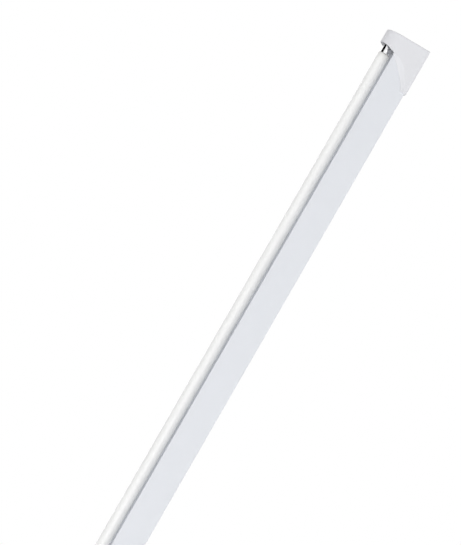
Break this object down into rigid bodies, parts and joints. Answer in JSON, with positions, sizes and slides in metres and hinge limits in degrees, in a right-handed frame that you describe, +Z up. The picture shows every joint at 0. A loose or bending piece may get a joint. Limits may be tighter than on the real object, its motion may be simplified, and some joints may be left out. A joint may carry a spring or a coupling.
{
  "type": "linear light fixture",
  "caption": "Slim white ceiling batten for one thin fluorescent tube, with horned end caps that wrap the lamp's ends.",
  "frame": {"origin": "middle of the ceiling plane, between the two fixing slots", "axes": "+X along the batten, +Z up to the ceiling, the lamp hangs below"},
  "size_m": [1.186, 0.04, 0.061],
  "materials": {
    "white_steel": "smooth white powder coat, semi-gloss",
    "white_cap": "moulded white plastic, satin gloss",
    "holder_plastic": "dark grey heat-proof plastic, matt",
    "lamp_glass": "glass coated white inside, glossy outside",
    "lamp_metal": "bright drawn aluminium",
    "pin_brass": "bright brass",
    "insulator": "light brown hard insulating board",
    "clear_glass": "clear glass",
    "tungsten": "grey metal",
    "contact_metal": "spring bronze",
    "zinc_steel": "bright zinc plated",
    "fastener_plastic": "white plastic",
    "grey_rubber": "soft grey rubber",
    "grey_plastic": "light grey plastic",
    "button_red": "orange red plastic",
    "button_blue": "blue plastic",
    "button_green": "green plastic",
    "board_green": "green circuit board",
    "choke_black": "black ferrite and bobbin",
    "capacitor_blue": "dark blue sleeve",
    "wire_brown": "brown insulation",
    "wire_blue": "blue insulation",
    "wire_earth": "green and yellow insulation",
    "wire_white": "white insulation"
  },
  "bodies": {
    "housing": {"spine_channel": "white_steel", "gear_cover": "white_steel", "end_cap_left": "white_cap", "end_cap_right": "white_cap", "end_cap_screws": "zinc_steel", "lampholder_front_left": "holder_plastic", "lampholder_front_right": "holder_plastic", "lampholder_back_left": "holder_plastic", "lampholder_back_right": "holder_plastic", "lampholder_contacts_left": "contact_metal", "lampholder_contacts_right": "contact_metal", "cover_bridge_left": "zinc_steel", "cover_bridge_right": "zinc_steel", "cable_grommet": "grey_rubber", "blanking_plugs": "grey_plastic", "terminal_block": "grey_plastic", "terminal_clamps": "zinc_steel", "ballast_base": "zinc_steel", "ballast_lid": "white_steel", "ballast_board": "board_green", "ballast_choke": "choke_black", "ballast_capacitors": "capacitor_blue", "ballast_terminal_mains": "grey_plastic", "ballast_terminal_lamp": "grey_plastic", "ballast_screws": "zinc_steel", "earth_tag": "zinc_steel", "earth_screw": "zinc_steel", "live_wire": "wire_brown", "neutral_wire": "wire_blue", "earth_wire": "wire_earth", "lamp_wires_left": "wire_white", "lamp_wires_right": "wire_white", "wire_clips": "grey_plastic"},
    "lamp": {"lamp_glass": "lamp_glass", "lamp_cap_left": "lamp_metal", "lamp_cap_right": "lamp_metal", "lamp_insulator_left": "insulator", "lamp_insulator_right": "insulator", "lamp_pins_left": "pin_brass", "lamp_pins_right": "pin_brass", "lamp_stem_left": "clear_glass", "lamp_stem_right": "clear_glass", "lamp_cathode_left": "tungsten", "lamp_cathode_right": "tungsten"},
    "rotor_left": {"lampholder_rotor_left": "holder_plastic"},
    "fastener_left": {"cover_fastener_left": "fastener_plastic"},
    "rotor_right": {"lampholder_rotor_right": "holder_plastic"},
    "fastener_right": {"cover_fastener_right": "fastener_plastic"},
    "button_live": {"release_button_live": "button_red"},
    "button_neutral": {"release_button_neutral": "button_blue"},
    "button_earth": {"release_button_earth": "button_green"}
  },
  "joints": [
    {"name": "lamp_turn", "type": "hinge", "parent": "housing", "child": "lamp", "pos_m": [0, 0, -0.0486], "axis": [1, 0, 0], "range_deg": [0, 90]},
    {"name": "rotor_left_turn", "type": "hinge", "parent": "housing", "child": "rotor_left", "pos_m": [-0.577, 0, -0.0486], "axis": [1, 0, 0], "range_deg": [0, 90]},
    {"name": "fastener_left_turn", "type": "hinge", "parent": "housing", "child": "fastener_left", "pos_m": [-0.28, 0, -0.0365], "axis": [0, 0, 1], "range_deg": [0, 90]},
    {"name": "rotor_right_turn", "type": "hinge", "parent": "housing", "child": "rotor_right", "pos_m": [0.577, 0, -0.0486], "axis": [1, 0, 0], "range_deg": [0, 90]},
    {"name": "fastener_right_turn", "type": "hinge", "parent": "housing", "child": "fastener_right", "pos_m": [0.28, 0, -0.0365], "axis": [0, 0, 1], "range_deg": [0, 90]},
    {"name": "button_live_press", "type": "slide", "parent": "housing", "child": "button_live", "axis": [0, 0, 1], "range_m": [0, 0.0014], "stiffness_N_per_m": 300, "springref_m": -0.002},
    {"name": "button_neutral_press", "type": "slide", "parent": "housing", "child": "button_neutral", "axis": [0, 0, 1], "range_m": [0, 0.0014], "stiffness_N_per_m": 300, "springref_m": -0.002},
    {"name": "button_earth_press", "type": "slide", "parent": "housing", "child": "button_earth", "axis": [0, 0, 1], "range_m": [0, 0.0014], "stiffness_N_per_m": 300, "springref_m": -0.002}
  ],
  "couplings": [
    {"joint": "rotor_left_turn", "follows": "lamp_turn", "ratio": 1},
    {"joint": "rotor_right_turn", "follows": "lamp_turn", "ratio": 1}
  ]
}
